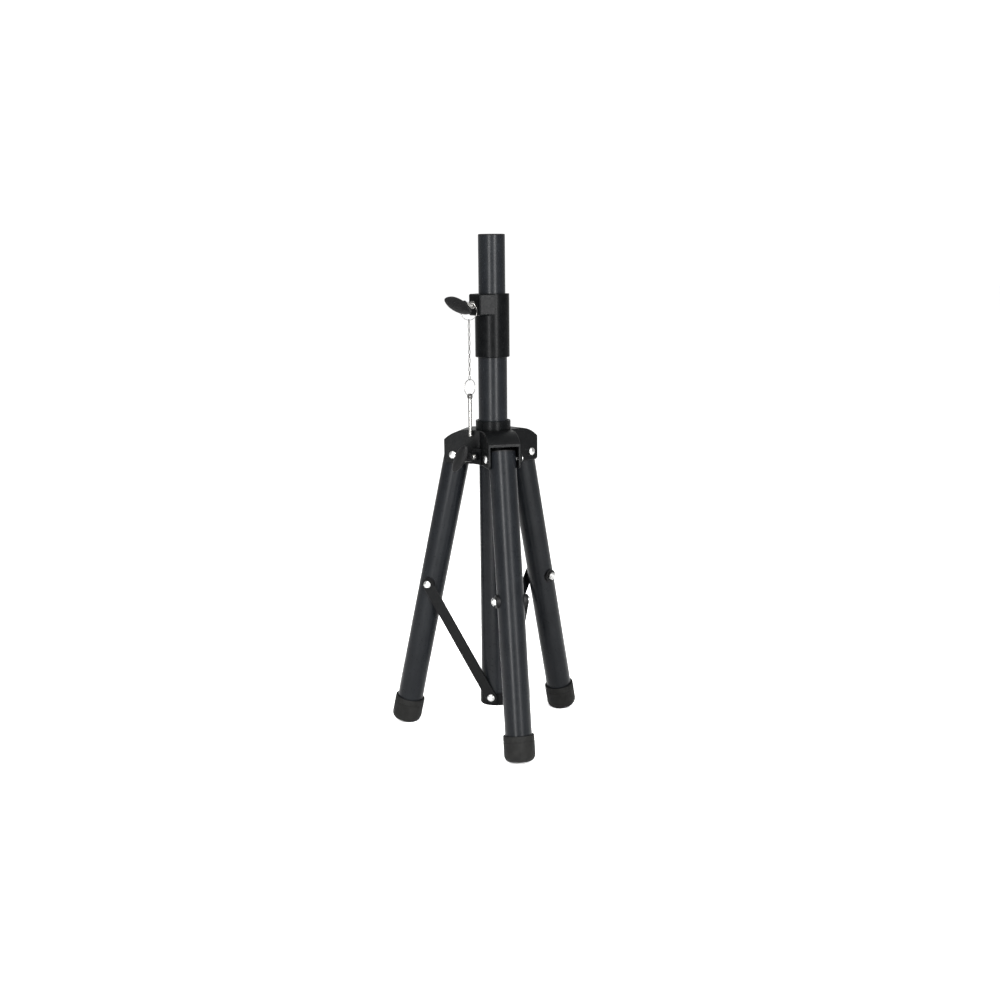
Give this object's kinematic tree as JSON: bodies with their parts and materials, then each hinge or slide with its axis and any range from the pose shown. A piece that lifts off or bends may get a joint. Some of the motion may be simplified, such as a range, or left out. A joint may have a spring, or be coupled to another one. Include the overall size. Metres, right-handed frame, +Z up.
{
  "type": "speaker tripod stand",
  "caption": "Short black telescoping tripod stand with a plain pole end, a clamp collar with a safety pin on a chain, a sliding hub and folding braced legs.",
  "frame": {"origin": "on the floor, at the middle of the box round the three feet; the mast's axis stands 33 mm behind it, at x = 0", "axes": "+Z up along the mast, leg 1 towards -Y, +X to the right of leg 1 seen from in front"},
  "size_m": [0.2658, 0.2357, 0.668],
  "materials": {
    "black_tube": "satin black powder coat with a slight sheen",
    "black_plate": "matt black powder coat on pressed steel",
    "black_collar": "satin moulded black nylon",
    "knob": "matt moulded black plastic with a fine grain",
    "foot_rubber": "matt black rubber",
    "zinc": "bright zinc plate",
    "nickel": "bright nickel plate"
  },
  "bodies": {
    "mast": {"lower_tube": "black_tube", "bottom_cap": "black_collar", "bottom_plug": "knob", "bracket_bolts": "zinc", "clamp_collar": "black_collar", "clamp_nut": "nickel", "clamp_pad": "knob"},
    "pole": {"upper_tube": "black_tube", "upper_plug": "knob", "guide_bush": "black_collar"},
    "clamp_handle": {"clamp_screw": "nickel", "clamp_knob": "knob"},
    "tether": {"upper_ring": "nickel", "chain": "nickel", "lower_ring": "nickel", "safety_pin": "nickel"},
    "stay_1": {"brace_1": "black_plate"},
    "stay_2": {"brace_2": "black_plate"},
    "stay_3": {"brace_3": "black_plate"},
    "leg_1": {"leg_1_tube": "black_tube", "leg_1_plug": "knob", "leg_1_foot": "foot_rubber", "leg_1_brace_bolt": "zinc", "leg_1_brace_nut": "zinc", "leg_1_brace_saddle": "knob", "leg_1_nut_saddle": "knob"},
    "leg_2": {"leg_2_tube": "black_tube", "leg_2_plug": "knob", "leg_2_foot": "foot_rubber", "leg_2_brace_bolt": "zinc", "leg_2_brace_nut": "zinc", "leg_2_brace_saddle": "knob", "leg_2_nut_saddle": "knob"},
    "leg_3": {"leg_3_tube": "black_tube", "leg_3_plug": "knob", "leg_3_foot": "foot_rubber", "leg_3_brace_bolt": "zinc", "leg_3_brace_nut": "zinc", "leg_3_brace_saddle": "knob", "leg_3_nut_saddle": "knob"},
    "hub": {"hub_body": "black_plate", "hub_bush": "black_collar", "hub_nut": "nickel", "hub_pad": "knob", "pivot_bolts": "zinc", "pivot_nuts": "zinc"},
    "hub_handle": {"hub_screw": "nickel", "hub_knob": "knob"}
  },
  "joints": [
    {"name": "pole_slide", "type": "slide", "parent": "mast", "child": "pole", "axis": [0, 0, 1], "range_m": [0, 0.36]},
    {"name": "clamp_turn", "type": "hinge", "parent": "mast", "child": "clamp_handle", "pos_m": [-0.03974, 0.0153, 0.5784], "axis": [-0.9135, -0.4067, 0], "range_deg": [0, 360]},
    {"name": "tether_swing", "type": "hinge", "parent": "mast", "child": "tether", "pos_m": [-0.03435, 0.0177, 0.5784], "axis": [-0.9135, -0.4067, 0], "range_deg": [-3, 5]},
    {"name": "legs_spread", "type": "hinge", "parent": "mast", "child": "stay_1", "pos_m": [0, 0.033, 0.0511], "axis": [1, 0, 0], "range_deg": [-14.09, 9.01]},
    {"name": "stay_2_swing", "type": "hinge", "parent": "mast", "child": "stay_2", "pos_m": [0, 0.033, 0.0511], "axis": [-0.5, 0.866, 0], "range_deg": [-14.2, 9.1]},
    {"name": "stay_3_swing", "type": "hinge", "parent": "mast", "child": "stay_3", "pos_m": [0, 0.033, 0.0511], "axis": [-0.5, -0.866, 0], "range_deg": [-14.2, 9.1]},
    {"name": "leg_1_swing", "type": "hinge", "parent": "stay_1", "child": "leg_1", "pos_m": [0, -0.05545, 0.20353], "axis": [-1, 0, 0], "range_deg": [-26.4, 16.9]},
    {"name": "leg_2_swing", "type": "hinge", "parent": "stay_2", "child": "leg_2", "pos_m": [0.0766, 0.07722, 0.20353], "axis": [0.5, -0.866, 0], "range_deg": [-26.4, 16.9]},
    {"name": "leg_3_swing", "type": "hinge", "parent": "stay_3", "child": "leg_3", "pos_m": [-0.0766, 0.07722, 0.20353], "axis": [0.5, 0.866, 0], "range_deg": [-26.4, 16.9]},
    {"name": "hub_level", "type": "hinge", "parent": "leg_1", "child": "hub", "pos_m": [0, -0.0168, 0.3823], "axis": [1, 0, 0], "range_deg": [-12.3, 7.9]},
    {"name": "hub_screw_turn", "type": "hinge", "parent": "hub", "child": "hub_handle", "pos_m": [-0.03984, 0.01, 0.3819], "axis": [-0.866, -0.5, 0], "range_deg": [0, 360]}
  ],
  "couplings": [
    {"joint": "stay_2_swing", "follows": "legs_spread", "ratio": 1},
    {"joint": "stay_3_swing", "follows": "legs_spread", "ratio": 1},
    {"joint": "leg_1_swing", "follows": "legs_spread", "ratio": 1.8658},
    {"joint": "leg_2_swing", "follows": "legs_spread", "ratio": 1.8658},
    {"joint": "leg_3_swing", "follows": "legs_spread", "ratio": 1.8658},
    {"joint": "hub_level", "follows": "legs_spread", "ratio": 0.8658}
  ]
}
